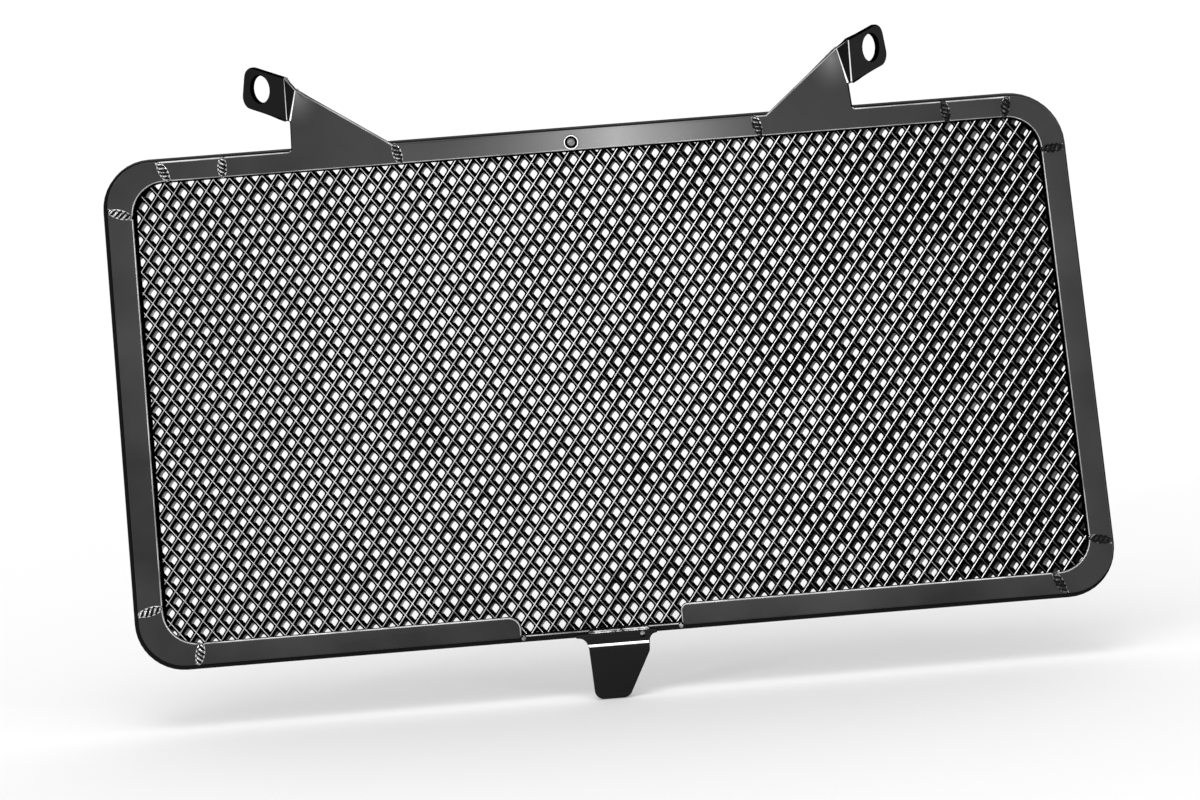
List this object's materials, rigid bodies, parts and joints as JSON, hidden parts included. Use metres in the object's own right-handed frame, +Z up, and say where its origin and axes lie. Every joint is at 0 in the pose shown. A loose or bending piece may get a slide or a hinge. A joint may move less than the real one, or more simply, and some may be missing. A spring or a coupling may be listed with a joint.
{
  "type": "motorcycle_radiator_guard",
  "caption": "Motorcycle radiator guard: black expanded metal panel in a welded plate frame with two tabbed upper brackets and a lower tongue",
  "frame": {"origin": "Middle of the bottom rim bar, on its flat rear face", "axes": "Right-handed. +X along the frame's width, to the right seen from the front; -Y out of the front; +Z up"},
  "size_m": [0.3629, 0.0246, 0.243],
  "materials": {
    "powder_coat": "satin",
    "rim_coat": "satin",
    "mesh_coat": "gloss",
    "weld_coat": "gloss",
    "rivet_coat": "satin"
  },
  "bodies": {
    "root": {"rim": "rim_coat", "mesh_panel": "mesh_coat", "mesh_tacks": "weld_coat", "strip_left": "powder_coat", "corner_top_left": "powder_coat", "strip_top_left": "powder_coat", "bracket_left": "powder_coat", "strip_top_centre": "powder_coat", "bracket_right": "powder_coat", "strip_top_right": "powder_coat", "corner_top_right": "powder_coat", "strip_right": "powder_coat", "corner_bottom_right": "powder_coat", "strip_bottom_right": "powder_coat", "strip_bottom_left": "powder_coat", "corner_bottom_left": "powder_coat", "joint_welds": "weld_coat", "end_tacks": "weld_coat", "centre_rivet": "rivet_coat", "tongue": "powder_coat", "tongue_welds": "weld_coat"}
  },
  "joints": []
}
